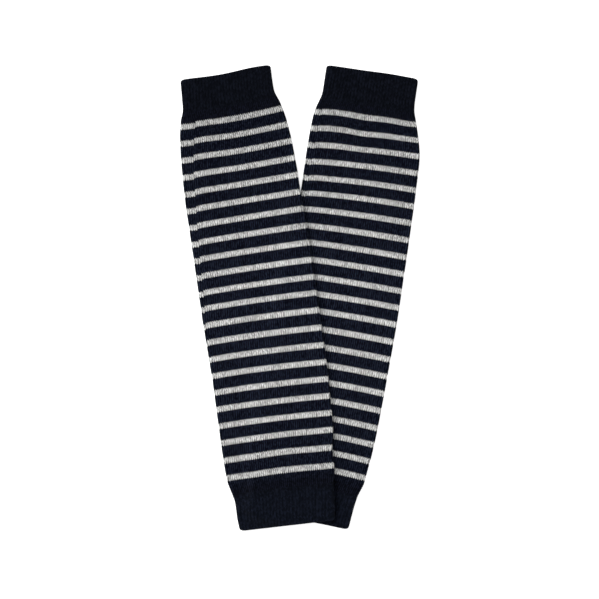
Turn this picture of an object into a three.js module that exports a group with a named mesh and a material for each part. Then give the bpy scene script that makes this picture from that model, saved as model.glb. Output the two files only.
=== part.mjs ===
// Pair of striped leg warmers, laid flat, the left one lying on the right one at the ankles.
// Millimetres. +X is right, +Y runs towards the thigh hems, +Z is up, and the cloth rests on z = 0.
// Each warmer is one open tube in three stretches: a ribbed thigh cuff, a leg and a ribbed ankle cuff.
import * as THREE from 'three';

// Cloth
const HOLLOW = 0.9; // open height between the front and the back wall of a flattened tube
const CROWN = 0.4; // how much higher the front lies in the middle than beside its folds
const RIB_RISE = 0.25; // height of a cuff's ribs over its wall
const SEAM_GAP = 0.3; // between a cuff and its leg
const NAVY_CUFF = '#0e1118';
const NAVY_LEG = '#141820';
const CLOTH_ROUGHNESS = 0.95;

// How the upper warmer lies on the lower one
const REST_GAP = 0.4; // between the two warmers
const RUN_UP = 11; // width over which the upper warmer climbs onto the lower one
const RUN_UP_CLEAR = 1.5; // how far off the lower one's edge the climb ends

// Where the stretches of a tube meet, measured down from the thigh hem
const THIGH_CUFF_END = 22.4;
const ANKLE_CUFF_START = 284.2;

// Facets: steps of each kind round a ring, and rows along each stretch
const CUFF_RING = { front: 56, fold: 4, back: 14 };
const LEG_RING = { front: 18, fold: 3, back: 18 };
const CUFF_ROWS = 5;
const LEG_ROWS = 21;
const HEM_ROUND = 1.8; // length of the rounded lip at a hem

// Both warmers have their thigh hem's middle at top and lean by tilt degrees.
// A warmer's sections, one row for each, down from the thigh hem:
// at      distance from the hem along the middle line
// left    half-width to the left of the middle line, and right likewise
// wall    thickness of the cloth
// slant   how far a knitted row runs down for each millimetre to the right
// bow     how much lower a knitted row is at its two ends than in its middle
// A fold is a soft trough in the front, one row for each:
// at, across   its middle, and down, wide its half-sizes
// depth        of its middle
const LEFT_WARMER = {
  top: [-50.6, 152.6],
  tilt: 7.93,
  sections: [
    { at: 0.0, left: 29.6, right: 30.8, wall: 1.45, slant: -0.029, bow: -0.3 },
    { at: 1.8, left: 30.9, right: 31.5, wall: 1.9, slant: -0.029, bow: -0.3 },
    { at: 16.0, left: 31.5, right: 31.6, wall: 1.9, slant: -0.035, bow: -0.4 },
    { at: 22.4, left: 32.4, right: 33.5, wall: 1.8, slant: -0.038, bow: -0.4 },
    { at: 30.0, left: 34.5, right: 35.6, wall: 1.4, slant: -0.044, bow: -0.4 },
    { at: 38.0, left: 36.2, right: 37.4, wall: 1.35, slant: -0.042, bow: -0.2 },
    { at: 52.0, left: 37.4, right: 38.4, wall: 1.35, slant: -0.038, bow: 0.0 },
    { at: 80.0, left: 38.8, right: 39.6, wall: 1.35, slant: -0.028, bow: 0.3 },
    { at: 120.0, left: 38.6, right: 41.2, wall: 1.35, slant: -0.016, bow: 0.5 },
    { at: 165.0, left: 38.4, right: 41.5, wall: 1.35, slant: 0.0, bow: 0.7 },
    { at: 205.0, left: 37.3, right: 41.5, wall: 1.35, slant: 0.01, bow: 0.9 },
    { at: 240.0, left: 37.5, right: 40.2, wall: 1.35, slant: 0.017, bow: 1.0 },
    { at: 252.0, left: 37.5, right: 39.4, wall: 1.35, slant: 0.019, bow: 1.0 },
    { at: 261.0, left: 37.4, right: 37.0, wall: 1.35, slant: 0.02, bow: 1.0 },
    { at: 275.0, left: 37.0, right: 36.9, wall: 1.4, slant: 0.02, bow: 1.0 },
    { at: 284.2, left: 34.7, right: 35.0, wall: 1.8, slant: 0.019, bow: 0.5 },
    { at: 292.0, left: 33.4, right: 34.1, wall: 1.9, slant: 0.018, bow: 0.0 },
    { at: 308.8, left: 32.7, right: 32.3, wall: 1.9, slant: 0.018, bow: -0.3 },
    { at: 310.6, left: 30.4, right: 31.4, wall: 1.45, slant: 0.018, bow: -0.3 },
  ],
  folds: [
    { at: 62, across: -14, down: 34, wide: 7, depth: 0.35 },
    { at: 96, across: 21, down: 42, wide: 8, depth: 0.4 },
    { at: 176, across: -20, down: 48, wide: 8, depth: 0.35 },
    { at: 262, across: 31, down: 15, wide: 7, depth: 0.45 },
  ],
};

const RIGHT_WARMER = {
  top: [51.4, 152.6],
  tilt: -8.0,
  sections: [
    { at: -0.7, left: 32.3, right: 29.0, wall: 1.45, slant: 0.012, bow: -0.2 },
    { at: 1.1, left: 33.4, right: 29.7, wall: 1.9, slant: 0.012, bow: -0.2 },
    { at: 16.0, left: 33.7, right: 29.9, wall: 1.9, slant: 0.0, bow: 0.2 },
    { at: 22.4, left: 34.7, right: 30.7, wall: 1.8, slant: -0.008, bow: 0.4 },
    { at: 30.0, left: 36.8, right: 32.7, wall: 1.4, slant: -0.017, bow: 0.5 },
    { at: 38.0, left: 37.8, right: 34.9, wall: 1.35, slant: -0.022, bow: 0.4 },
    { at: 52.0, left: 38.2, right: 37.8, wall: 1.35, slant: -0.024, bow: 0.4 },
    { at: 80.0, left: 38.8, right: 38.9, wall: 1.35, slant: -0.012, bow: 0.8 },
    { at: 120.0, left: 40.5, right: 39.0, wall: 1.35, slant: 0.012, bow: 0.6 },
    { at: 165.0, left: 40.8, right: 38.6, wall: 1.35, slant: 0.024, bow: 0.7 },
    { at: 205.0, left: 41.1, right: 37.1, wall: 1.35, slant: 0.032, bow: 0.9 },
    { at: 240.0, left: 41.5, right: 35.4, wall: 1.35, slant: 0.038, bow: 1.2 },
    { at: 256.0, left: 41.7, right: 34.3, wall: 1.35, slant: 0.04, bow: 1.4 },
    { at: 265.0, left: 41.7, right: 33.3, wall: 1.35, slant: 0.042, bow: 1.4 },
    { at: 275.0, left: 41.4, right: 31.9, wall: 1.4, slant: 0.044, bow: 1.2 },
    { at: 284.2, left: 40.5, right: 28.9, wall: 1.8, slant: 0.046, bow: 0.6 },
    { at: 292.0, left: 39.4, right: 27.4, wall: 1.9, slant: 0.048, bow: 0.2 },
    { at: 306.2, left: 39.0, right: 25.8, wall: 1.9, slant: 0.048, bow: 0.0 },
    { at: 308.0, left: 37.4, right: 24.5, wall: 1.45, slant: 0.048, bow: 0.0 },
  ],
  folds: [
    { at: 66, across: 12, down: 38, wide: 8, depth: 0.4 },
    { at: 118, across: -6, down: 34, wide: 7, depth: 0.35 },
    { at: 196, across: 24, down: 46, wide: 7, depth: 0.35 },
  ],
};

const mix = THREE.MathUtils.lerp;

// The section at any distance down the warmer, between the two rows beside it
function sectionAt(warmer, at) {
  const rows = warmer.sections;
  const found = rows.findIndex((row) => row.at >= at);
  const below = Math.max(1, found < 0 ? rows.length - 1 : found);
  const low = rows[below - 1];
  const high = rows[below];
  const share = THREE.MathUtils.clamp((at - low.at) / (high.at - low.at), 0, 1);
  const section = {};
  for (const column of Object.keys(low)) {
    section[column] = mix(low[column], high[column], share);
  }
  section.thick = 2 * section.wall + HOLLOW;
  return section;
}

function hemsOf(warmer) {
  return [warmer.sections[0].at, warmer.sections.at(-1).at];
}

// From across and along a warmer to the shared frame, and back
function toFrame(warmer, across, along) {
  const tilt = THREE.MathUtils.degToRad(warmer.tilt);
  const [x, y] = warmer.top;
  return [
    x + across * Math.cos(tilt) + along * Math.sin(tilt),
    y + across * Math.sin(tilt) - along * Math.cos(tilt),
  ];
}

function toWarmer(warmer, x, y) {
  const tilt = THREE.MathUtils.degToRad(warmer.tilt);
  const dx = x - warmer.top[0];
  const dy = y - warmer.top[1];
  return [dx * Math.cos(tilt) + dy * Math.sin(tilt), dx * Math.sin(tilt) - dy * Math.cos(tilt)];
}

// How far a row of knitting has run down at a place across the warmer
function rowRun(section, across) {
  const half = across < 0 ? section.left : section.right;
  return section.slant * across + section.bow * (across / half) ** 2;
}

// How high the underside of a warmer lies at (x, y): on the floor, or on the warmer below it.
// It keeps the full height over that warmer and falls to the floor over the run-up round it.
function baseHeight(lower, x, y) {
  if (!lower) {
    return 0;
  }
  const [across, along] = toWarmer(lower, x, y);
  const [thighHem, ankleHem] = hemsOf(lower);
  const insideHems = [thighHem + HEM_ROUND, ankleHem - HEM_ROUND];
  const section = sectionAt(lower, THREE.MathUtils.clamp(along, ...insideHems));
  const run = rowRun(section, THREE.MathUtils.clamp(across, -section.left, section.right));
  const beside = Math.max(-section.left - across, across - section.right, 0);
  const beyond = Math.max(thighHem + run - along, along - ankleHem - run, 0);
  const away = Math.hypot(beside, beyond) - RUN_UP_CLEAR;
  const height = section.thick + CROWN + RIB_RISE + REST_GAP;
  return height * (1 - THREE.MathUtils.smoothstep(away, 0, RUN_UP));
}

// How deep the folds of a warmer's front are at a place on it
function foldDepth(warmer, across, along) {
  let depth = 0;
  for (const fold of warmer.folds) {
    const away = Math.hypot((across - fold.across) / fold.wide, (along - fold.at) / fold.down);
    depth += fold.depth * (1 - THREE.MathUtils.smoothstep(away, 0, 1));
  }
  return depth;
}

// The steps of a ring: along the front, round the right fold, back underneath, round the left fold
function ringSteps(ring) {
  const steps = [];
  const sides = [
    ['front', ring.front],
    ['rightFold', ring.fold],
    ['back', ring.back],
    ['leftFold', ring.fold],
  ];
  for (const [side, count] of sides) {
    for (let n = 0; n < count; n += 1) {
      steps.push({ side, share: n / count, ridge: n % 2 === 0 });
    }
  }
  return steps;
}

// A point of a flattened ring as [across, height]. The outer face lies outside the wall, and the
// inner face a wall's thickness inside it.
function ringPoint(section, step, isOuter, rise) {
  const middle = section.thick / 2;
  const radius = isOuter ? middle + rise : HOLLOW / 2;
  const reach = { left: section.left - middle, right: section.right - middle };
  if (step.side === 'front' || step.side === 'back') {
    const fromLeft = step.side === 'front' ? step.share : 1 - step.share;
    const across = mix(-reach.left, reach.right, fromLeft);
    if (step.side === 'back') {
      return [across, isOuter ? 0 : section.wall];
    }
    return [across, middle + radius + CROWN * 4 * fromLeft * (1 - fromLeft)];
  }
  const turn = Math.PI * step.share;
  if (step.side === 'rightFold') {
    return [reach.right + radius * Math.sin(turn), middle + radius * Math.cos(turn)];
  }
  return [-reach.left - radius * Math.sin(turn), Math.max(0, middle - radius * Math.cos(turn))];
}

// Rows along a stretch, closer at a hem so that its lip is round
function rowStations(warmer, from, to, rows) {
  const [thighHem, ankleHem] = hemsOf(warmer);
  const first = from === thighHem ? from + HEM_ROUND : from;
  const last = to === ankleHem ? to - HEM_ROUND : to;
  const stations = [];
  for (let n = 0; n <= rows; n += 1) {
    stations.push(mix(first, last, n / rows));
  }
  if (first !== from) {
    stations.unshift(from);
  }
  if (last !== to) {
    stations.push(to);
  }
  return stations;
}

// One stretch of a tube as a closed solid: an outer and an inner face joined at both ends
function tubeGeometry(warmer, lower, stretch) {
  const { from, to, rows, ring, ribbed } = stretch;
  const steps = ringSteps(ring);
  const stations = rowStations(warmer, from, to, rows);
  const positions = [];
  for (const isOuter of [true, false]) {
    for (const station of stations) {
      const section = sectionAt(warmer, station);
      for (const step of steps) {
        const rise = ribbed && step.ridge && step.side !== 'back' ? RIB_RISE : 0;
        const [across, height] = ringPoint(section, step, isOuter, rise);
        const along = station + rowRun(section, across);
        const [x, y] = toFrame(warmer, across, along);
        const fold = step.side === 'front' ? foldDepth(warmer, across, along) : 0;
        positions.push(x, y, height - fold + baseHeight(lower, x, y));
      }
    }
  }
  const geometry = new THREE.BufferGeometry();
  geometry.setAttribute('position', new THREE.Float32BufferAttribute(positions, 3));
  geometry.setIndex(tubeFaces(steps.length, stations.length));
  geometry.computeVertexNormals();
  return geometry;
}

// Faces of a tube whose outer rows come first and whose inner rows follow
function tubeFaces(columns, rows) {
  const faces = [];
  const quad = (a, b, c, d) => faces.push(a, b, c, a, c, d);
  const inner = columns * rows;
  const last = columns * (rows - 1);
  for (let column = 0; column < columns; column += 1) {
    const next = (column + 1) % columns;
    for (let row = 0; row + 1 < rows; row += 1) {
      const here = columns * row;
      const below = columns * (row + 1);
      quad(here + column, below + column, below + next, here + next);
      quad(
        inner + here + next,
        inner + below + next,
        inner + below + column,
        inner + here + column,
      );
    }
    quad(column, next, inner + next, inner + column);
    quad(last + next, last + column, inner + last + column, inner + last + next);
  }
  return faces;
}

function clothMaterial(color) {
  return new THREE.MeshStandardMaterial({ color, roughness: CLOTH_ROUGHNESS, metalness: 0 });
}

// The three stretches of one warmer. lower is the warmer it lies on, if any.
function warmerGroup(name, warmer, lower) {
  const [thighHem, ankleHem] = hemsOf(warmer);
  const half = SEAM_GAP / 2;
  const cuff = { rows: CUFF_ROWS, ring: CUFF_RING, ribbed: true, color: NAVY_CUFF };
  const stretches = {
    top_cuff: { ...cuff, from: thighHem, to: THIGH_CUFF_END - half },
    leg: {
      from: THIGH_CUFF_END + half,
      to: ANKLE_CUFF_START - half,
      rows: LEG_ROWS,
      ring: LEG_RING,
      ribbed: false,
      color: NAVY_LEG,
    },
    bottom_cuff: { ...cuff, from: ANKLE_CUFF_START + half, to: ankleHem },
  };
  const group = new THREE.Group();
  for (const [part, stretch] of Object.entries(stretches)) {
    const mesh = new THREE.Mesh(tubeGeometry(warmer, lower, stretch), clothMaterial(stretch.color));
    mesh.name = `${name}_${part}`;
    group.add(mesh);
  }
  return group;
}

const pair = new THREE.Group();
pair.add(warmerGroup('right', RIGHT_WARMER, null));
pair.add(warmerGroup('left', LEFT_WARMER, RIGHT_WARMER));

export default pair;
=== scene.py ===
"""Pair of striped leg warmers laid flat, the left one lying on the right one at the ankles.

Each warmer is a knitted tube in three stretches: a ribbed thigh cuff, a striped leg and a ribbed
ankle cuff. Every stretch is one closed wall of cloth worked out on a grid. One parameter runs
round the tube, wale by wale, and the other runs down its outer face and back up its inner face.
Shapes are in millimetres, and become metres when they are put into a mesh.
"""
from __future__ import annotations

import logging
import math
from dataclasses import dataclass, field
from enum import Enum
from typing import Any, Sequence

import bpy
import numpy as np
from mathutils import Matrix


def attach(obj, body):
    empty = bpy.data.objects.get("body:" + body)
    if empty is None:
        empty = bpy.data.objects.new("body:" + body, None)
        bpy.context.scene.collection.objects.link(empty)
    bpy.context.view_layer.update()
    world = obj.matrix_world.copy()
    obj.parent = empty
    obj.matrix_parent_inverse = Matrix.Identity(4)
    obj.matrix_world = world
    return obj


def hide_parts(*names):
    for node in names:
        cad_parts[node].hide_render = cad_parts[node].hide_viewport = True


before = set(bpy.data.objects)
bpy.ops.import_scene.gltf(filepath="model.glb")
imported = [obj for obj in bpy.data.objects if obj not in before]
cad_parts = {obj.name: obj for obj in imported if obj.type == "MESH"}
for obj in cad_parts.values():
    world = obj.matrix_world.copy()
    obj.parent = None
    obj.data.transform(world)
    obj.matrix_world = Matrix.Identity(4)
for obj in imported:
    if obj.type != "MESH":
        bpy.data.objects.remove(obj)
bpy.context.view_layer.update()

LOG = logging.getLogger("leg_warmers")
Array = np.ndarray
Colour = tuple[float, float, float, float]
MM = 0.001

# Cloth, as in the solids
HOLLOW = 0.9  # open height between the front and the back wall
CROWN = 0.4  # how much higher the front lies in the middle than beside its folds
RIB_RISE = 0.25  # height of a cuff's ribs over its wall

# How the upper warmer lies on the lower one
REST_GAP = 0.4
RUN_UP = 11.0  # width over which it climbs
RUN_UP_CLEAR = 1.5  # how far off the lower one's edge the climb ends

# Where the stretches of a tube meet
THIGH_CUFF_END = 22.4
ANKLE_CUFF_START = 284.2

# The photograph's width in pixels, and a pixel's size
PHOTO_WIDTH = 599
PIXEL = 0.68

KNIT_UV = "Knit"
RIB_SLOT = "navy_rib"
STRIPED_SLOT = "striped_knit"


class Knit(Enum):
    """The two ways the cloth is knitted, by the number of wales or ribs round a tube."""

    PLAIN = 104
    RIB = 60


@dataclass(frozen=True)
class Section:
    """A cross-section of a warmer.

    at is its distance down the middle line from the thigh hem; left and right are its half-widths;
    wall is the cloth's thickness; slant is how far a knitted row runs down for each millimetre to
    the right; and bow is how much lower the row is at its ends than in its middle.
    """

    at: float
    left: float
    right: float
    wall: float
    slant: float
    bow: float


@dataclass(frozen=True)
class Crease:
    """A soft trough in the cloth: its middle, its half-sizes, its lean to the right in degrees
    and its depth."""

    at: float
    across: float
    down: float
    wide: float
    lean: float
    depth: float


@dataclass(frozen=True)
class Ripple:
    """A place where the cloth lies shift millimetres further down: its middle and half-sizes."""

    at: float
    across: float
    down: float
    wide: float
    shift: float


@dataclass(frozen=True)
class StripeRepeat:
    """The stripe pattern: courses of light and of dark yarn, and the number of light stripes."""

    light: float = 3.75
    dark: float = 8.25
    count: int = 22

    @property
    def courses(self) -> float:
        """Courses from one light stripe to the next."""
        return self.light + self.dark

    @property
    def end(self) -> float:
        """Course number at the last light stripe's lower edge."""
        return self.courses * (self.count - 1) + self.light


REPEAT = StripeRepeat()


@dataclass(frozen=True)
class StripeLay:
    """How the stripes lie on a warmer: the number of a light stripe with its middle's distance
    down the warmer, for about half of them. The distances were measured on the photograph."""

    marks: Sequence[tuple[int, float]]

    @property
    def course(self) -> float:
        """Mean height of one knitted course."""
        (first, top), (last, bottom) = self.marks[0], self.marks[-1]
        return (bottom - top) / (last - first) / REPEAT.courses

    def course_number(self, at: Array) -> Array:
        """Course number at a distance down the leg, 0 at the first light stripe's upper edge.

        The stripe number runs evenly from mark to mark, and on at the mean rate beyond them. Each
        stripe with its dark band holds a fixed count of courses.

        Args:
            at: Distances from the thigh hem.

        Returns:
            The course number of each.
        """
        stripes, middles = np.array(self.marks).T
        inside = np.clip(at, middles[0], middles[-1])
        number = REPEAT.courses * np.interp(inside, middles, stripes) + (at - inside) / self.course
        return number + REPEAT.light / 2


@dataclass(frozen=True)
class RoundStart:
    """The line where each knitted round starts and ends, and how its stripes miss themselves.

    path gives the line by some distances down the warmer, each with the line's share of the way
    round there, from the left fold over the front. droop is how much lower a row starts than it
    goes on, over a share droop_turn of the way round; step is how much lower the round's end lies
    than its start; and climb is how much of that falls between left fold and line.
    """

    path: Sequence[tuple[float, float]]
    droop: float
    droop_turn: float
    step: float
    climb: float


@dataclass(frozen=True)
class Stretch:
    """A stretch of a warmer's tube that is one piece.

    start and end are its distances down the warmer; slot is its material slot; columns is the mesh
    columns in a wale or rib; rows go down the outer face and inner_rows come back up the inner
    one; hem_first and hem_last say which end is a hem's round lip rather than a join; and rests_on
    names the stretches of the lower warmer that it lies on.
    """

    part: str
    knit: Knit
    slot: str
    start: float
    end: float
    columns: int
    rows: int
    inner_rows: int
    hem_first: bool = False
    hem_last: bool = False
    rests_on: tuple[str, ...] = ()

    @property
    def is_rib(self) -> bool:
        """Whether it is ribbed."""
        return self.knit is Knit.RIB


def smoothstep(value: Array, low: float, high: float) -> Array:
    """3t^2 - 2t^3 of the value's share t of the way from low to high, held within 0 and 1."""
    share = np.clip((value - low) / (high - low), 0.0, 1.0)
    return share * share * (3.0 - 2.0 * share)


class Outline:
    """A warmer's sections as smooth functions of the distance down it."""

    STEP = 0.1  # between known distances
    SOFTNESS = 1.3  # standard deviation of the bell curve
    BELL_REACH = 4  # in standard deviations
    HEM_CORNER = 2.0  # radius

    def __init__(self, sections: Sequence[Section]) -> None:
        """Joins the sections by straight lines and softens these with a bell curve.

        At the hems the half-widths draw in as a quarter circle, so that the corners are round.

        Args:
            sections: The cross-sections, from thigh hem to ankle hem.
        """
        known = np.array([section.at for section in sections])
        self.thigh_hem, self.ankle_hem = float(known[0]), float(known[-1])
        self.at = np.arange(self.thigh_hem, self.ankle_hem + self.STEP / 2, self.STEP)
        pad = round(self.BELL_REACH * self.SOFTNESS / self.STEP)
        bell = np.exp(-0.5 * (np.arange(-pad, pad + 1) * self.STEP / self.SOFTNESS) ** 2)
        self.columns: dict[str, Array] = {}
        for name in ("left", "right", "wall", "slant", "bow"):
            rows = np.interp(self.at, known, [getattr(section, name) for section in sections])
            padded = np.pad(rows, pad, mode="reflect", reflect_type="odd")
            self.columns[name] = np.convolve(padded, bell / bell.sum(), "valid")
        from_hem = np.minimum(self.at - self.at[0], self.at[-1] - self.at)
        short = np.clip(self.HEM_CORNER - from_hem, 0.0, self.HEM_CORNER)
        drawn_in = self.HEM_CORNER - np.sqrt(self.HEM_CORNER**2 - short**2)
        self.columns["left"] -= drawn_in
        self.columns["right"] -= drawn_in

    def size(self, name: str, at: Array) -> Array:
        """The named size at each distance down the warmer."""
        return np.interp(at, self.at, self.columns[name])

    def run(self, at: Array, across: Array) -> Array:
        """How far a row has run down at a place: slant times across, plus bow times the square of
        the share of the half-width."""
        half = np.where(across < 0, self.size("left", at), self.size("right", at))
        return self.size("slant", at) * across + self.size("bow", at) * (across / half) ** 2


@dataclass
class Warmer:
    """One leg warmer: its place, its shape and the pieces of its tube.

    top is the middle of its thigh hem, tilt its lean in degrees, and lower the warmer that it
    lies on, if any. seed starts the slow unevenness of its cloth.
    """

    name: str
    top: tuple[float, float]
    tilt: float
    sections: Sequence[Section]
    stripes: StripeLay
    round_start: RoundStart
    front_creases: Sequence[Crease]
    back_creases: Sequence[Crease]
    ripples: Sequence[Ripple]
    seed: int
    lower: Warmer | None = None
    outline: Outline = field(init=False)

    LIP_ROWS = 6  # in a quarter of a hem's lip
    JOIN_FADE = 2.2  # length over which the knit's relief starts at a join
    CUT_STEPS = 200  # at which the girth is measured
    LEAST_SHARE = 1e-3  # of the way round, which keeps a share of it finite

    # Relief of the knit
    WALE_DEPTH = 0.16
    WALE_DIP = 0.22  # of a wale's middle, as a share of its depth
    WALE_DIP_WIDTH = 0.11  # as a share of the wale
    RIB_DEPTH = 0.36
    RIB_FULLNESS = 0.8  # under 1 makes the ribs fuller than a sine wave

    # How far the cloth gives, and where on the folds that starts, by the normal's upward part
    FRONT_GIVE = 0.55
    BACK_GIVE = 0.15
    GIVES_FROM = 0.3

    # Slow unevenness: its heights on both faces, and the waves that make it up
    UNEVEN_FRONT = 0.07
    UNEVEN_BACK = 0.03
    WAVES = 16
    WAVE_LENGTHS = (15.0, 70.0)
    WAVE_LOBES = 8  # round the tube, and always fewer
    WAVE_SUM = 4.5  # which counts as the full height

    def __post_init__(self) -> None:
        """Works out the smooth outline from the sections."""
        self.outline = Outline(self.sections)

    def stretches(self) -> list[Stretch]:
        """Lists the three stretches of the tube.

        Returns:
            The thigh cuff, the leg and the ankle cuff.
        """
        line = self.outline
        return [
            Stretch(
                part="top_cuff",
                knit=Knit.RIB,
                slot=RIB_SLOT,
                start=line.thigh_hem,
                end=THIGH_CUFF_END,
                columns=6,
                rows=48,
                inner_rows=10,
                hem_first=True,
            ),
            Stretch(
                part="leg",
                knit=Knit.PLAIN,
                slot=STRIPED_SLOT,
                start=THIGH_CUFF_END,
                end=ANKLE_CUFF_START,
                columns=4,
                rows=182,
                inner_rows=40,
                rests_on=("leg",),
            ),
            Stretch(
                part="bottom_cuff",
                knit=Knit.RIB,
                slot=RIB_SLOT,
                start=ANKLE_CUFF_START,
                end=line.ankle_hem,
                columns=6,
                rows=54,
                inner_rows=12,
                hem_last=True,
                rests_on=("leg", "bottom_cuff"),
            ),
        ]

    def to_frame(self, across: Array, along: Array) -> tuple[Array, Array]:
        """Turns a place on the warmer by its tilt and moves it to its top.

        Args:
            across: Distances across the warmer.
            along: Distances down it.

        Returns:
            The x and y of the frame.
        """
        lean = math.radians(self.tilt)
        x = self.top[0] + across * math.cos(lean) + along * math.sin(lean)
        y = self.top[1] + across * math.sin(lean) - along * math.cos(lean)
        return x, y

    def from_frame(self, x: Array, y: Array) -> tuple[Array, Array]:
        """Turns a place in the frame back by the warmer's tilt, seen from its top.

        Args:
            x: Places in the frame.
            y: Places in the frame.

        Returns:
            The distances across and along the warmer.
        """
        lean = math.radians(self.tilt)
        dx, dy = x - self.top[0], y - self.top[1]
        return dx * math.cos(lean) + dy * math.sin(lean), dx * math.sin(lean) - dy * math.cos(lean)

    def height_over(self, x: Array, y: Array) -> Array:
        """Height at which another warmer lies over this one.

        It is this one's thickness with crown, ribs and gap wherever this one is, and outside it
        falls in a smooth step to nothing over the run-up.

        Args:
            x: Places in the frame.
            y: Places in the frame.

        Returns:
            The height over the floor at each place.
        """
        line = self.outline
        across, along = self.from_frame(x, y)
        at = np.clip(along, line.thigh_hem, line.ankle_hem)
        left, right = line.size("left", at), line.size("right", at)
        run = line.run(at, np.clip(across, -left, right))
        beside = np.maximum(np.maximum(-left - across, across - right), 0.0)
        beyond = np.maximum(line.thigh_hem + run - along, along - line.ankle_hem - run)
        away = np.hypot(beside, np.maximum(beyond, 0.0)) - RUN_UP_CLEAR
        full = 2 * line.size("wall", at) + HOLLOW + CROWN + RIB_RISE + REST_GAP
        return full * (1.0 - smoothstep(away, 0.0, RUN_UP))

    def start_turn(self, at: Array) -> Array:
        """Share of the way round at which a knitted round starts, straight from mark to mark."""
        places, turns = np.array(self.round_start.path).T
        return np.interp(at, places, turns)

    def row_plan(self, stretch: Stretch) -> tuple[Array, Array, Array]:
        """The grid's rows down the outer face and back up the inner one.

        At a hem the two faces meet in a round lip, whose rows lie r(1 - cos t) from the hem and
        r sin t from the middle of the wall. At a join they end square.

        Args:
            stretch: The stretch of tube.

        Returns:
            Each row's distance down the warmer, its place in the wall from 1 at the outer face to
            -1 at the inner one, and the share of the knit's relief that it carries.
        """
        ends = self.outline.size("wall", np.array([stretch.start, stretch.end])) / 2
        angles = np.linspace(0.0, np.pi / 2, self.LIP_ROWS + 1)[:-1]
        head = angles if stretch.hem_first else angles[:0]
        tail = angles if stretch.hem_last else angles[:0]
        first = stretch.start + (ends[0] if stretch.hem_first else 0.0)
        last = stretch.end - (ends[1] if stretch.hem_last else 0.0)
        at = np.concatenate([
            stretch.start + ends[0] * (1 - np.cos(head)),
            np.linspace(first, last, stretch.rows),
            stretch.end - ends[1] * (1 - np.cos(tail[::-1])),
            stretch.end - ends[1] * (1 - np.cos(tail[1:])),
            np.linspace(last, first, stretch.inner_rows),
            stretch.start + ends[0] * (1 - np.cos(head[:0:-1])),
        ])
        depth = np.concatenate([
            np.sin(head),
            np.ones(stretch.rows),
            np.sin(tail[::-1]),
            -np.sin(tail[1:]),
            -np.ones(stretch.inner_rows),
            -np.sin(head[:0:-1]),
        ])
        relief = np.clip(depth, 0.0, 1.0) ** 2
        if not stretch.hem_first:
            relief = relief * smoothstep(at - stretch.start, 0.0, self.JOIN_FADE)
        if not stretch.hem_last:
            relief = relief * smoothstep(stretch.end - at, 0.0, self.JOIN_FADE)
        return at, depth, relief

    def ring(self, at: Array, turn: Array, offset: Array) -> tuple[Array, Array, Array]:
        """Places round the flattened tube, in the plane across it.

        The middle of the wall is a flat oval: straight above and below, with a half circle at
        each fold. A share of the way round is walked as arc length, over the front from the left
        fold and back underneath, and the offset is laid off along the outward normal. Over the
        front a parabola from fold to fold adds the crown.

        Args:
            at: Distances down the warmer.
            turn: Shares of the way round, from 0 to 1.
            offset: Distances outward from the middle of the wall.

        Returns:
            The distance across, the height, and the upward part of the normal.
        """
        left, right = self.outline.size("left", at), self.outline.size("right", at)
        wall = self.outline.size("wall", at)
        middle = wall + HOLLOW / 2
        radius = (HOLLOW + wall) / 2
        quarter = np.pi / 2 * radius
        flat = left + right - 2 * middle
        under = turn >= 0.5
        walked = np.where(under, turn - 0.5, turn) * 2 * (flat + 2 * quarter)
        bend = np.clip(walked, 0.0, quarter) + np.clip(walked - quarter - flat, 0.0, quarter)
        straight = np.clip(walked - quarter, 0.0, flat)
        angle = np.where(under, 0.0, np.pi) - bend / radius
        centre = np.where(under, right - middle - straight, middle - left + straight)
        across = centre + (radius + offset) * np.cos(angle)
        share = np.clip((across + left - middle) / flat, 0.0, 1.0)
        crown = CROWN * 4 * share * (1 - share) * (np.sin(angle) > 0)
        return across, middle + (radius + offset) * np.sin(angle) + crown, np.sin(angle)

    def relief(self, stretch: Stretch, wale: Array) -> Array:
        """Depth of the knit's relief under its ridges, across its wales.

        With s the sine over a half wave across the wale, a rib lies 1 - s^0.8 of its depth down,
        which is a full round ridge beside a narrow groove. A plain wale lies 1 - sqrt(s) down, and
        a bell curve adds a slight dip in its middle, where the two arms of its stitches meet.

        Args:
            stretch: The stretch of tube.
            wale: Wale or rib numbers.

        Returns:
            The depth at each, 0 on a ridge.
        """
        part = wale - np.floor(wale)
        ridge = np.sin(np.pi * part)
        if stretch.is_rib:
            return self.RIB_DEPTH * (1 - ridge**self.RIB_FULLNESS)
        dip = self.WALE_DIP * np.exp(-(((part - 0.5) / self.WALE_DIP_WIDTH) ** 2))
        return self.WALE_DEPTH * (1 + dip - np.sqrt(ridge))

    def crease_depth(self, creases: Sequence[Crease], across: Array, along: Array) -> Array:
        """Depth of the creases at a place: each is a leaning oval bowl with smooth-step sides.

        Args:
            creases: The creases of one face.
            across: Distances across the warmer.
            along: Distances down it.

        Returns:
            The summed depth.
        """
        depth = np.zeros_like(across)
        for crease in creases:
            lean = math.radians(crease.lean)
            du, ds = across - crease.across, along - crease.at
            over = du * math.cos(lean) + ds * math.sin(lean)
            down = ds * math.cos(lean) - du * math.sin(lean)
            away = np.hypot(over / crease.wide, down / crease.down)
            depth += crease.depth * (1.0 - smoothstep(away, 0.0, 1.0))
        return depth

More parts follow.
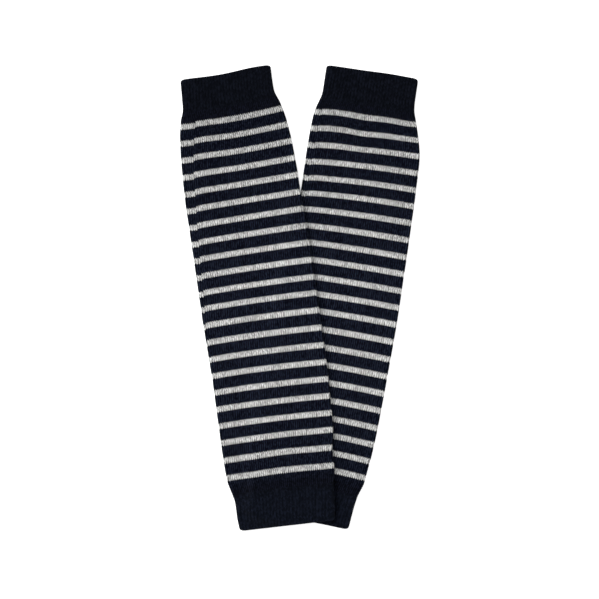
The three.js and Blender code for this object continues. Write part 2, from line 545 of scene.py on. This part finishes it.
    def unevenness(self, at: Array, turn: Array) -> Array:
        """Slow unevenness of cloth laid by hand.

        It is a sum of seeded waves, each a sine down the tube times a cosine with a whole number
        of lobes round it, so that all of them close.

        Args:
            at: Distances down the warmer.
            turn: Shares of the way round.

        Returns:
            A height within about -1 and 1.
        """
        rng = np.random.default_rng(self.seed)
        total = np.zeros(np.broadcast(at, turn).shape)
        for _ in range(self.WAVES):
            length, lobes = rng.uniform(*self.WAVE_LENGTHS), rng.integers(0, self.WAVE_LOBES)
            phase = rng.uniform(0.0, 2 * np.pi, 2)
            wave = np.sin(2 * np.pi * at / length + phase[0])
            total += wave * np.cos(2 * np.pi * lobes * turn + phase[1])
        return np.clip(total / self.WAVE_SUM, -1.0, 1.0)

    def course_number(self, at: Array, gone: Array) -> Array:
        """Course numbers of the grid, which the stripes and stitches follow.

        A row starts lower by the droop, which fades out as it goes over the front. From the right
        fold back to the start line it sinks by droop and step: all but the climb underneath, and
        the climb between the left fold and the line.

        Args:
            at: Distances down the warmer.
            gone: Shares of the way round from the start line, from 0 to 1.

        Returns:
            The course numbers.
        """
        start = self.round_start
        turn = self.start_turn(at)
        right_fold, left_fold = 0.5 - turn, 1.0 - np.maximum(turn, 0.0)
        whole = start.droop + start.step
        under = np.clip((gone - right_fold) / (left_fold - right_fold), 0.0, 1.0)
        beside = (gone - left_fold) / np.maximum(1.0 - left_fold, self.LEAST_SHARE)
        lower = start.droop * np.exp(-gone / start.droop_turn)
        lower = lower + (whole - start.climb) * under + start.climb * np.clip(beside, 0.0, 1.0)
        return self.stripes.course_number(at) - lower / self.stripes.course

    def rippled(self, at: Array, across: Array) -> Array:
        """How far the ripples shift the cloth down at a place: the sum of their bell curves.

        Args:
            at: Distances down the warmer.
            across: Distances across it.

        Returns:
            The shift down at each place.
        """
        shift = np.zeros_like(across)
        for ripple in self.ripples:
            du, ds = (across - ripple.across) / ripple.wide, (at - ripple.at) / ripple.down
            shift += ripple.shift * np.exp(-0.5 * (du * du + ds * ds))
        return shift

    def build(self, stretch: Stretch) -> bpy.types.Object:
        """Builds a stretch of the tube as one closed wall of cloth.

        Each point is its place on the flat oval, offset by its depth in the wall and the knit's
        relief. Its row's run and the ripples move it down the warmer, creases and unevenness lower
        the front and lift the back, and what lies below lifts the whole.

        Args:
            stretch: The stretch of tube.

        Returns:
            The mesh object, with a UV map of wale and course numbers.
        """
        rows, depth, relief = self.row_plan(stretch)
        wales = stretch.knit.value
        wale = np.arange(wales * stretch.columns + 1)[None, :] / stretch.columns
        at = rows[:, None] + 0.0 * wale
        gone = wale / wales + 0.0 * at
        turn = (gone + self.start_turn(at)) % 1.0
        half_wall = self.outline.size("wall", at) / 2
        _, _, up = self.ring(at, turn, np.zeros_like(at))
        rise = RIB_RISE if stretch.is_rib else 0.0
        knit = rise * (1 + up) / 2 - self.relief(stretch, wale)
        offset = depth[:, None] * half_wall + relief[:, None] * knit
        across, height, _ = self.ring(at, turn, offset)
        along = at + self.outline.run(at, across) + self.rippled(at, across)
        uneven = 1 + self.unevenness(at, turn)
        front = np.minimum(self.crease_depth(self.front_creases, across, along), self.FRONT_GIVE)
        back = np.minimum(self.crease_depth(self.back_creases, across, along), self.BACK_GIVE)
        sunk = -front - self.UNEVEN_FRONT * uneven
        lift = np.where(up > 0, sunk, back + self.UNEVEN_BACK * uneven)
        height = height + lift * smoothstep(np.abs(up), self.GIVES_FROM, 1.0)
        x, y = self.to_frame(across, along)
        if self.lower is not None:
            height = height + self.lower.height_over(x, y)
        points = np.stack([x, y, height], axis=-1)[:, :-1] * MM
        numbers = np.stack([wale + 0.0 * at, self.course_number(at, gone)], axis=-1)
        is_join = (np.abs(depth) == 1.0) & ((rows == stretch.start) | (rows == stretch.end))
        return closed_grid(f"{self.name}_{stretch.part}_knit", points, numbers, is_join)

    def cut(self, stretch: Stretch) -> tuple[float, float]:
        """Size of the stretch when it is slit open and laid out.

        The girth is that of the flat oval round the middle of the wall: two straights and a circle.

        Args:
            stretch: The stretch of tube.

        Returns:
            Its mean girth and its length, in metres.
        """
        at = np.linspace(stretch.start, stretch.end, self.CUT_STEPS)
        width = self.outline.size("left", at) + self.outline.size("right", at)
        wall = self.outline.size("wall", at)
        girth = 2 * (width - 2 * wall - HOLLOW) + np.pi * (HOLLOW + wall)
        return float(girth.mean()) * MM, (stretch.end - stretch.start) * MM

    def dress(self, finishes: dict[str, bpy.types.Material]) -> None:
        """Args:
            finishes: The materials by slot name.
        """
        for stretch in self.stretches():
            piece = self.build(stretch)
            piece.data.materials.append(finishes[stretch.slot])
            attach(piece, "root")
            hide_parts(f"{self.name}_{stretch.part}")
            self.cut(stretch)
            LOG.info("%s: %d faces", piece.name, len(piece.data.polygons))


def closed_grid(name: str, points: Array, numbers: Array, is_join: Array) -> bpy.types.Object:
    """Makes a mesh of a grid that closes both ways, as a ring does.

    Face (i, j) joins points (i, j), (i + 1, j), (i + 1, j + 1) and (i, j + 1), both counts going
    round. Its corners take the wale and course numbers of the same places, whose extra last
    column lets the wales count on to the full round.

    Args:
        name: The object's name.
        points: Places in metres, as rows by columns by 3.
        numbers: Wale and course numbers, as rows by columns plus one by 2.
        is_join: Whether each row is the sharp rim of a join.

    Returns:
        The object, linked to the scene.
    """
    rows, columns = points.shape[:2]
    index = np.arange(rows * columns).reshape(rows, columns)
    below = np.roll(index, -1, axis=0)
    beside, across = np.roll(index, -1, axis=1), np.roll(below, -1, axis=1)
    faces = np.stack([index, below, across, beside], axis=-1)
    numbers_below = np.roll(numbers, -1, axis=0)
    corners = np.stack(
        [numbers[:, :-1], numbers_below[:, :-1], numbers_below[:, 1:], numbers[:, 1:]], axis=2
    )
    mesh = bpy.data.meshes.new(name)
    mesh.vertices.add(rows * columns)
    mesh.vertices.foreach_set("co", points.astype(np.float32).ravel())
    mesh.loops.add(faces.size)
    mesh.loops.foreach_set("vertex_index", faces.astype(np.int32).ravel())
    mesh.polygons.add(rows * columns)
    mesh.polygons.foreach_set("loop_start", np.arange(0, faces.size, 4, dtype=np.int32))
    mesh.update(calc_edges=True)
    mesh.uv_layers.new(name=KNIT_UV).uv.foreach_set("vector", corners.astype(np.float32).ravel())
    ends = np.empty(len(mesh.edges) * 2, dtype=np.int32)
    mesh.edges.foreach_get("vertices", ends)
    row_pairs = (ends // columns).reshape(-1, 2)
    is_sharp = is_join[row_pairs[:, 0]] & (row_pairs[:, 0] == row_pairs[:, 1])
    mesh.shade_smooth()
    mesh.attributes.new("sharp_edge", "BOOLEAN", "EDGE").data.foreach_set("value", is_sharp)
    piece = bpy.data.objects.new(name, mesh)
    bpy.context.scene.collection.objects.link(piece)
    return piece


class Link:
    """An output socket that can be used in sums. Each operation adds a Math node."""

    def __init__(self, shade: Shade, socket: bpy.types.NodeSocket | None) -> None:
        """Keeps the socket and the node tree that it belongs to."""
        self.shade = shade
        self.socket = socket

    def math(self, operation: str, *values: Link | float) -> Link:
        """Adds a Math node of this and the other values.

        Args:
            operation: Blender's name of the operation.
            values: What goes into the sockets after the first.

        Returns:
            The node's output.
        """
        inputs = dict(enumerate((self, *values)))
        return self.shade.add("ShaderNodeMath", {"operation": operation}, inputs)

    def __add__(self, other: Link | float) -> Link:
        """This plus the other."""
        return self.math("ADD", other)

    def __mul__(self, other: Link | float) -> Link:
        """This times the other."""
        return self.math("MULTIPLY", other)

    __radd__ = __add__
    __rmul__ = __mul__

    def __sub__(self, other: Link | float) -> Link:
        """This less the other."""
        return self.math("SUBTRACT", other)

    def __rsub__(self, other: float) -> Link:
        """The other less this."""
        return self.shade.add("ShaderNodeMath", {"operation": "SUBTRACT"}, {0: other, 1: self})

    def __mod__(self, other: Link | float) -> Link:
        """What this is over the multiple of the other below it."""
        return self.math("FLOORED_MODULO", other)

    def __lt__(self, other: Link | float) -> Link:
        """1 where this is less than the other, else 0."""
        return self.math("LESS_THAN", other)

    def __gt__(self, other: Link | float) -> Link:
        """1 where this is greater than the other, else 0."""
        return self.math("GREATER_THAN", other)

    def __abs__(self) -> Link:
        """This without its sign."""
        return self.math("ABSOLUTE")

    def floor(self) -> Link:
        """The whole number below this."""
        return self.math("FLOOR")

    def part(self) -> Link:
        """What this is over the whole number below it."""
        return self.math("FRACT")

    def hump(self) -> Link:
        """A half sine wave over each whole number's stretch."""
        return (self.part() * math.pi).math("SINE")


class Shade:
    """A material's node tree while it is being built."""

    def __init__(self, tree: bpy.types.NodeTree) -> None:
        """Empties the tree and keeps it."""
        tree.nodes.clear()
        self.tree = tree

    def add(
        self,
        kind: str,
        settings: dict[str, Any] | None = None,
        inputs: dict[str | int, Any] | None = None,
        output: str | int = 0,
    ) -> Link:
        """Adds a node, sets it up and fills its sockets.

        Args:
            kind: Blender's name of the node type.
            settings: The node's own properties, set before its sockets.
            inputs: Values or links by socket.
            output: The output that is wanted.

        Returns:
            That output, or an empty link where the node has none.
        """
        made = self.tree.nodes.new(kind)
        for key, value in (settings or {}).items():
            setattr(made, key, value)
        for key, value in (inputs or {}).items():
            if isinstance(value, Link):
                self.tree.links.new(value.socket, made.inputs[key])
            else:
                made.inputs[key].default_value = value
        return Link(self, made.outputs[output] if made.outputs else None)

    def noise(self, place: Link, scale: float, detail: float) -> Link:
        """Noise from 0 to 1 over the object's own coordinates."""
        inputs = {"Vector": place, "Scale": scale, "Detail": detail}
        return self.add("ShaderNodeTexNoise", {}, inputs)

    def chance(self, first: Link, second: Link) -> Link:
        """A number from 0 to 1 that is drawn for each pair of whole numbers.

        Args:
            first: The pair's first number.
            second: Its second number.

        Returns:
            The number drawn.
        """
        pair = self.add("ShaderNodeCombineXYZ", {}, {0: first, 1: second})
        settings = {"noise_dimensions": "2D"}
        return self.add("ShaderNodeTexWhiteNoise", settings, {"Vector": pair}, "Value")

    def blend(self, share: Link, first: Link | Colour, second: Link | Colour) -> Link:
        """Mixes two colours, the second one by the share."""
        settings = {"data_type": "RGBA", "clamp_factor": True}
        return self.add("ShaderNodeMix", settings, {0: share, 6: first, 7: second}, 2)


@dataclass(frozen=True)
class Influences:
    """What makes a yarn look lighter or darker from place to place.

    column is 1 in the middle of a wale and 0 at its sides; arm is a number from 0 to 1 drawn for
    each arm of each stitch; mottle is slow noise; and the last is painted shade, highest in the
    middle of the leg and lower towards both cuffs, where the cloth swells and curves.
    """

    # in the colour, this darkens a wale's sides: painted shade in the grooves between wales
    column: Link
    arm: Link
    mottle: Link
    painted_leg_shade: Link


@dataclass(frozen=True)
class Yarn:
    """How a yarn looks in the cloth.

    light and dark are the linear colours of its lightest and darkest fibres; base is its tone
    between them, from 0 on the dark one to 1 on the light one, where nothing makes it lighter; and
    the rest is how much each influence adds to that.
    """

    light: Colour
    dark: Colour
    base: float
    # weight of the painted shade in the grooves between wales or ribs
    column: float
    arm: float
    mottle: float = 0.0
    # weight of the painted shade that makes the middle of the leg lighter than its ends near the
    # cuffs
    painted_leg_shade: float = 0.0

    def colour(self, shade: Shade, influences: Influences) -> Link:
        """Mixes the two colours by the tone, which is base plus each influence times its weight.

        Args:
            shade: The node tree.
            influences: The influences at a place.

        Returns:
            The yarn's colour there.
        """
        tone = influences.column * self.column + influences.arm * self.arm + self.base
        tone = tone + influences.mottle * self.mottle + influences.painted_leg_shade * self.painted_leg_shade
        return shade.blend(tone, self.dark, self.light)


@dataclass(frozen=True)
class KnitFinish:
    """How a knitted cloth looks.

    ground is its yarn, and next comes a paler mix of it, on the bands between stripes, where stray
    light fibres get in, and on the ankle cuff, which keeps the ground yarn over its first courses
    as painted shade at its join; stripe is the yarn of the stripes, if any; teeth is how far a
    stitch's arms rise at its sides, in courses; relief is the height of the bumps in metres; and
    the last three are the shader's own values.
    """

    slot: str
    ground: Yarn
    paler: Yarn
    stripe: Yarn | None = None
    teeth: float = 1.1
    relief: float = 0.0003
    specular: float = 0.02
    sheen: float = 0.008
    sheen_roughness: float = 0.6

    # Scale and detail of each noise
    GRAIN = (1300.0, 3.0)
    FIBRE = (5200.0, 2.0)
    MOTTLE = (42.0, 2.0)

    # Share of each form in the bumps, and the roughness with how far it varies
    STITCH_BUMP = 0.4
    ARM_BUMP = 0.3
    COLUMN_BUMP = 0.3
    FIBRE_BUMP = 0.35
    GRAIN_BUMP = 0.2
    ROUGHNESS = 0.86
    ROUGHNESS_SPREAD = 0.12

    # Painted shade over the leg, lighter in its middle and darker towards both cuffs, where the
    # cloth swells and curves: a half sine wave, less about its mean height
    LEG_SHADE_REACH = 0.85  # share of the wave from the first stripe to the last one
    LEG_SHADE_MEAN = 0.65

    # The paler yarn, in courses below the last stripe. On the ankle cuff it starts some courses
    # below the join, and the darker ground yarn over the courses above is painted shade where the
    # cuff meets the leg
    LEG_PALER_FADE = 7.0  # where it has faded out on the leg
    CUFF_SHADE_UNTIL = 10.2  # where it starts on the ankle cuff
    CUFF_SHADE_FADE = 5.0  # over which it fades in there

    def material(self) -> bpy.types.Material:
        """Builds the material from the UV map's wale and course numbers.

        Every wale is a column of Vs, so the course number is raised towards a wale's sides. Each
        arm of a V has its own tone, and rounds off into the grooves beside it, where the colour
        also darkens as painted shade.

        Returns:
            The new material.
        """
        made = bpy.data.materials.new(self.slot)
        made.use_nodes = True
        shade = Shade(made.node_tree)
        spot = shade.add("ShaderNodeUVMap", {"uv_map": KNIT_UV})
        place = shade.add("ShaderNodeTexCoord", output="Object")
        wale = shade.add("ShaderNodeSeparateXYZ", {}, {0: spot}, "X")
        course = shade.add("ShaderNodeSeparateXYZ", {}, {0: spot}, "Y")
        side = abs(wale.part() * 2.0 - 1.0)
        stitch = course + (side - 0.5) * self.teeth
        fibre = shade.noise(place, *self.FIBRE)
        influences = Influences(
            # lighter in a wale's middle: in the colour, painted shade in the grooves; in the bumps,
            # the wale's round form
            column=wale.hump(),
            arm=shade.chance((wale * 2.0).floor(), (course + side).floor()),
            mottle=shade.noise(place, *self.MOTTLE),
            # painted shade: lighter in the middle of the leg, darker towards the cuffs
            painted_leg_shade=(course * (self.LEG_SHADE_REACH / REPEAT.end)).hump() - self.LEG_SHADE_MEAN,
        )
        height = stitch.hump() * self.STITCH_BUMP + (wale * 2.0).hump() * self.ARM_BUMP
        height = height + influences.column * self.COLUMN_BUMP + fibre * self.FIBRE_BUMP
        height = height + shade.noise(place, *self.GRAIN) * self.GRAIN_BUMP
        bump = shade.add("ShaderNodeBump", {}, {"Distance": self.relief, "Height": height})
        values = {
            "Base Color": self.colour(shade, influences, course, stitch),
            "Roughness": fibre * self.ROUGHNESS_SPREAD + self.ROUGHNESS,
            "Normal": bump,
            "Specular IOR Level": self.specular,
            "Sheen Weight": self.sheen,
            "Sheen Roughness": self.sheen_roughness,
        }
        surface = shade.add("ShaderNodeBsdfPrincipled", {}, values)
        shade.add("ShaderNodeOutputMaterial", {}, {"Surface": surface})
        return made

    def colour(self, shade: Shade, influences: Influences, course: Link, stitch: Link) -> Link:
        """Mixes the yarns.

        On a striped cloth the paler yarn starts with the first stripe and fades out below the last
        one, and the stripes have their own yarn. On a plain one it fades in on the ankle cuff some
        courses below its join, and the darker ground yarn left above is painted shade at the join.

        Args:
            shade: The node tree.
            influences: The influences at a place.
            course: The course number there.
            stitch: The same, raised towards a wale's sides.

        Returns:
            The cloth's colour there.
        """
        ground, paler = self.ground.colour(shade, influences), self.paler.colour(shade, influences)
        below = course - REPEAT.end
        if self.stripe is None:
            # the ankle cuff's first courses keep the darker ground yarn: painted shade at its join
            share = (below - self.CUFF_SHADE_UNTIL) * (1.0 / self.CUFF_SHADE_FADE)
            return shade.blend(share, ground, paler)
        share = (stitch > 0.0) * (1.0 - below * (1.0 / self.LEG_PALER_FADE))
        bands = shade.blend(share, ground, paler)
        is_light = (stitch % REPEAT.courses) < REPEAT.light
        is_light = is_light * (stitch > 0.0) * (stitch < REPEAT.end)
        return shade.blend(is_light, bands, self.stripe.colour(shade, influences))


@dataclass(frozen=True)
class Studio:
    """The pale floor, the soft light and the camera, in metres.

    The sun's angle is its breadth and its lean is round x and y, all in degrees. view_width is the
    width of the photograph at view_height over the floor, and middle the place under its middle.
    The sensor's width is in millimetres.
    """

    floor_size: float = 14.0
    floor_drop: float = 0.0002
    floor_colour: Colour = (0.93, 0.93, 0.93, 1.0)
    floor_roughness: float = 0.9
    floor_specular: float = 0.1
    floor_glow: float = 0.75
    sky_colour: Colour = (1.0, 1.0, 1.0, 1.0)
    sky: float = 0.60
    sun: float = 2.2
    sun_angle: float = 45.0
    sun_lean: tuple[float, float] = (-24.0, -38.0)
    camera_height: float = 3.0
    camera_reach: float = 100.0
    view_height: float = 0.005
    view_width: float = PHOTO_WIDTH * PIXEL * MM
    middle: tuple[float, float] = (0.11 * MM, -0.88 * MM)
    sensor: float = 36.0

    def lay_floor(self) -> None:
        """Lays a plain pale floor just under the cloth."""
        half = self.floor_size / 2
        corners = [(-half, -half), (half, -half), (half, half), (-half, half)]
        mesh = bpy.data.meshes.new("floor")
        mesh.from_pydata([(x, y, -self.floor_drop) for x, y in corners], [], [(0, 1, 2, 3)])
        floor = bpy.data.objects.new("floor", mesh)
        bpy.context.scene.collection.objects.link(floor)
        material = bpy.data.materials.new("floor")
        material.use_nodes = True
        shade = Shade(material.node_tree)
        values = {
            "Base Color": self.floor_colour,
            "Roughness": self.floor_roughness,
            "Specular IOR Level": self.floor_specular,
            "Emission Color": self.floor_colour,
            "Emission Strength": self.floor_glow,
        }
        surface = shade.add("ShaderNodeBsdfPrincipled", {}, values)
        shade.add("ShaderNodeOutputMaterial", {}, {"Surface": surface})
        mesh.materials.append(material)

    def light_up(self) -> None:
        """Sets an even sky and one very soft sun from the upper left."""
        world = bpy.data.worlds.new("studio")
        world.use_nodes = True
        background = world.node_tree.nodes["Background"]
        background.inputs["Color"].default_value = self.sky_colour
        background.inputs["Strength"].default_value = self.sky
        bpy.context.scene.world = world
        lamp = bpy.data.lights.new("soft_sun", "SUN")
        lamp.energy = self.sun
        lamp.angle = math.radians(self.sun_angle)
        light = bpy.data.objects.new("soft_sun", lamp)
        light.rotation_euler = (*(math.radians(lean) for lean in self.sun_lean), 0.0)
        bpy.context.scene.collection.objects.link(light)

    def set_camera(self) -> None:
        """Hangs the camera over the middle, looking straight down, with the photograph's frame."""
        lens = bpy.data.cameras.new("camera")
        lens.sensor_width = self.sensor
        lens.lens = self.sensor * self.camera_height / self.view_width
        lens.clip_end = self.camera_reach
        camera = bpy.data.objects.new("camera", lens)
        camera.location = (*self.middle, self.camera_height + self.view_height)
        bpy.context.scene.collection.objects.link(camera)
        bpy.context.scene.camera = camera
        bpy.context.scene.view_settings.view_transform = "Standard"


NAVY_RIB = KnitFinish(
    slot=RIB_SLOT,
    ground=Yarn(
        light=(0.0055, 0.0069, 0.0124, 1.0),
        dark=(0.0019, 0.0025, 0.0046, 1.0),
        base=-0.622,
        column=0.3,
        arm=1.4,
    ),
    paler=Yarn(
        light=(0.0072, 0.0094, 0.0178, 1.0),
        dark=(0.0026, 0.0036, 0.0067, 1.0),
        base=-0.622,
        column=0.3,
        arm=1.4,
    ),
    teeth=0.6,
)

STRIPED_KNIT = KnitFinish(
    slot=STRIPED_SLOT,
    ground=Yarn(
        light=(0.0072, 0.0085, 0.0168, 1.0),
        dark=(0.0010, 0.0014, 0.0028, 1.0),
        base=-1.39,
        column=1.5,
        arm=1.4,
    ),
    paler=Yarn(
        light=(0.0132, 0.0172, 0.0312, 1.0),
        dark=(0.0006, 0.0010, 0.0042, 1.0),
        base=-1.43,
        column=1.5,
        arm=1.4,
        painted_leg_shade=0.36,
    ),
    stripe=Yarn(
        light=(0.90, 0.90, 0.885, 1.0),
        dark=(0.10, 0.10, 0.098, 1.0),
        base=-0.235,
        column=0.48,
        arm=0.6,
        mottle=0.2,
        painted_leg_shade=0.12,
    ),
)

RIGHT_WARMER = Warmer(
    name="right",
    top=(51.4, 152.6),
    tilt=-8.0,
    sections=(
        Section(-0.7, 33.1, 29.5, 1.9, 0.012, -0.2),
        Section(1.1, 33.3, 29.7, 1.9, 0.012, -0.2),
        Section(16.0, 33.5, 29.6, 1.9, 0.0, 0.2),
        Section(19.6, 33.9, 29.9, 1.85, -0.004, 0.3),
        Section(22.4, 34.9, 30.5, 1.8, -0.008, 0.4),
        Section(27.0, 36.5, 32.1, 1.6, -0.0135, 0.45),
        Section(31.0, 37.5, 33.3, 1.4, -0.0175, 0.5),
        Section(38.0, 38.1, 35.1, 1.35, -0.022, 0.4),
        Section(43.0, 38.4, 36.5, 1.35, -0.026, 0.55),
        Section(52.0, 38.7, 38.3, 1.35, -0.032, 0.8),
        Section(64.0, 38.95, 38.8, 1.35, -0.026, 0.95),
        Section(80.0, 38.8, 39.0, 1.35, -0.018, 1.1),
        Section(120.0, 40.5, 39.0, 1.35, 0.012, 0.6),
        Section(165.0, 40.8, 38.6, 1.35, 0.024, 0.7),
        Section(205.0, 41.1, 37.1, 1.35, 0.032, 0.9),
        Section(240.0, 41.5, 35.4, 1.35, 0.038, 1.2),
        Section(256.0, 41.7, 34.0, 1.35, 0.04, 1.4),
        Section(265.0, 41.7, 32.8, 1.35, 0.042, 1.4),
        Section(275.0, 41.4, 31.6, 1.4, 0.044, 1.2),
        Section(284.2, 40.5, 28.4, 1.8, 0.046, 0.6),
        Section(292.0, 39.4, 27.0, 1.9, 0.048, 0.2),
        Section(306.2, 39.0, 25.3, 1.9, 0.048, 0.0),
        Section(308.0, 38.6, 24.9, 1.9, 0.048, 0.0),
    ),
    stripes=StripeLay(
        (
            (0, 30.0), (2, 51.85), (4, 74.35), (5, 85.1), (6, 96.5), (10, 142.65), (11, 153.9),
            (12, 165.3), (13, 177.25), (14, 189.2), (17, 224.2), (18, 236.15), (20, 258.95),
            (21, 270.6),
        )
    ),
    round_start=RoundStart(
        path=((0.0, 0.039), (308.0, -0.007)),
        droop=0.35,
        droop_turn=0.02,
        step=0.5,
        climb=0.6,
    ),
    front_creases=(
        Crease(66, 12, 38, 8, 4, 0.32),
        Crease(118, -6, 34, 7, -5, 0.28),
        Crease(196, 24, 46, 7, 3, 0.28),
        Crease(34, -16, 13, 3.2, -9, 0.20),
        Crease(30, 3, 10, 2.6, 4, 0.16),
        Crease(33, 19, 14, 3.4, 11, 0.20),
        Crease(96, 27, 24, 4.0, -7, 0.18),
        Crease(158, 9, 30, 4.5, 8, 0.16),
        Crease(236, 12, 28, 4.2, -6, 0.18),
        Crease(268, 22, 15, 3.4, -12, 0.20),
    ),
    back_creases=(
        Crease(72, -14, 40, 8, -5, 0.12),
        Crease(132, 10, 36, 7, 6, 0.10),
        Crease(188, -18, 42, 8, 3, 0.12),
        Crease(244, 8, 32, 6, -7, 0.12),
        Crease(34, 12, 13, 4, 8, 0.08),
        Crease(270, -20, 16, 5, 9, 0.08),
    ),
    ripples=(
        Ripple(34, -34, 16, 8, -0.35),
        Ripple(34, -20, 14, 9, -0.75),
        Ripple(40, -2, 10, 6, 0.5),
        Ripple(28, 26, 8, 6, 0.6),
        Ripple(230, -12, 22, 8, 0.4),
        Ripple(308, 24, 8, 8, 0.4),
        Ripple(0, 9, 9, 12, -0.85),
        Ripple(0, -19, 9, 12, -0.4),
    ),
    seed=23,
)

LEFT_WARMER = Warmer(
    name="left",
    top=(-50.6, 152.6),
    tilt=7.93,
    sections=(
        Section(0.0, 30.7, 31.4, 1.9, -0.029, -0.3),
        Section(1.8, 30.9, 31.5, 1.9, -0.029, -0.3),
        Section(16.0, 31.4, 31.4, 1.9, -0.035, -0.7),
        Section(19.6, 31.6, 31.7, 1.85, -0.0365, -0.85),
        Section(22.4, 32.2, 33.1, 1.8, -0.038, -1.0),
        Section(26.0, 33.9, 34.4, 1.6, -0.039, -1.15),
        Section(30.0, 34.8, 35.4, 1.4, -0.040, -1.3),
        Section(38.0, 36.4, 37.2, 1.35, -0.040, -1.1),
        Section(52.0, 37.75, 38.85, 1.35, -0.038, -0.7),
        Section(64.0, 38.3, 39.45, 1.35, -0.034, -0.35),
        Section(76.0, 38.85, 40.0, 1.35, -0.0295, 0.0),
        Section(84.0, 38.95, 39.9, 1.35, -0.027, 0.14),
        Section(120.0, 38.6, 41.2, 1.35, -0.016, 0.5),
        Section(165.0, 38.4, 41.5, 1.35, 0.0, 0.7),
        Section(205.0, 37.3, 41.5, 1.35, 0.014, 0.9),
        Section(240.0, 37.5, 40.2, 1.35, 0.017, 0.75),
        Section(252.0, 37.5, 39.4, 1.35, 0.015, 0.65),
        Section(261.0, 37.4, 37.0, 1.35, 0.014, 0.65),
        Section(275.0, 37.0, 36.9, 1.4, 0.016, 0.6),
        Section(284.2, 34.7, 35.0, 1.8, 0.016, 0.3),
        Section(289.0, 33.35, 34.4, 1.87, 0.0165, 0.1),
        Section(295.0, 33.3, 33.9, 1.9, 0.018, 0.0),
        Section(301.0, 33.5, 33.2, 1.9, 0.018, -0.15),
        Section(308.8, 33.0, 32.3, 1.9, 0.018, -0.3),
        Section(310.6, 32.6, 32.1, 1.9, 0.018, -0.3),
    ),
    stripes=StripeLay(
        (
            (0, 31.0), (2, 53.2), (5, 87.15), (8, 121.55), (10, 144.75), (11, 155.35), (14, 190.6),
            (16, 213.55), (19, 248.3), (20, 260.4), (21, 272.65),
        )
    ),
    round_start=RoundStart(
        path=(
            (0.0, 0.086), (32.0, 0.073), (45.0, 0.064), (60.0, 0.052), (80.0, 0.048),
            (100.0, 0.037), (125.0, 0.027), (150.0, 0.021), (170.0, 0.010), (311.0, -0.03),
        ),
        droop=0.25,
        droop_turn=0.02,
        step=0.95,
        climb=0.45,
    ),
    front_creases=(
        Crease(62, -14, 34, 7, 5, 0.30),
        Crease(96, 21, 42, 8, -4, 0.32),
        Crease(176, -20, 48, 8, 3, 0.30),
        Crease(262, 31, 15, 7, -6, 0.42),
        Crease(32, -20, 12, 3.2, -10, 0.20),
        Crease(30, -4, 10, 2.6, 3, 0.15),
        Crease(34, 17, 14, 3.4, 9, 0.20),
        Crease(134, 4, 28, 4.6, 7, 0.16),
        Crease(214, 16, 30, 4.4, -8, 0.17),
        Crease(248, -12, 26, 4.2, 6, 0.18),
        Crease(272, -24, 14, 3.4, 11, 0.20),
        Crease(282.5, -10, 2.2, 26, 1, 0.5),
        Crease(303.5, 20, 2.2, 17, -2, 0.5),
    ),
    back_creases=(
        Crease(66, 12, 38, 8, 5, 0.12),
        Crease(124, -12, 36, 7, -6, 0.10),
        Crease(182, 16, 42, 8, -3, 0.12),
        Crease(238, -10, 30, 6, 7, 0.12),
        Crease(34, -14, 13, 4, -8, 0.08),
    ),
    ripples=(
        Ripple(48, -22, 17, 10, -0.75),
        Ripple(0, 20, 12, 11, -1.2),
        Ripple(0, -28, 12, 11, -0.75),
        Ripple(264, 3, 13, 13, -0.6),
        Ripple(310, 2, 12, 20, -0.5),
    ),
    seed=11,
    lower=RIGHT_WARMER,
)


def main() -> None:
    """Sets up the studio and builds the right warmer and the left one on it."""
    logging.basicConfig(level=logging.INFO, format="%(name)s: %(message)s")
    studio = Studio()
    studio.set_camera()
    studio.light_up()
    studio.lay_floor()
    finishes = {finish.slot: finish.material() for finish in (NAVY_RIB, STRIPED_KNIT)}
    for warmer in (RIGHT_WARMER, LEFT_WARMER):
        warmer.dress(finishes)


if __name__ == "__main__":
    main()
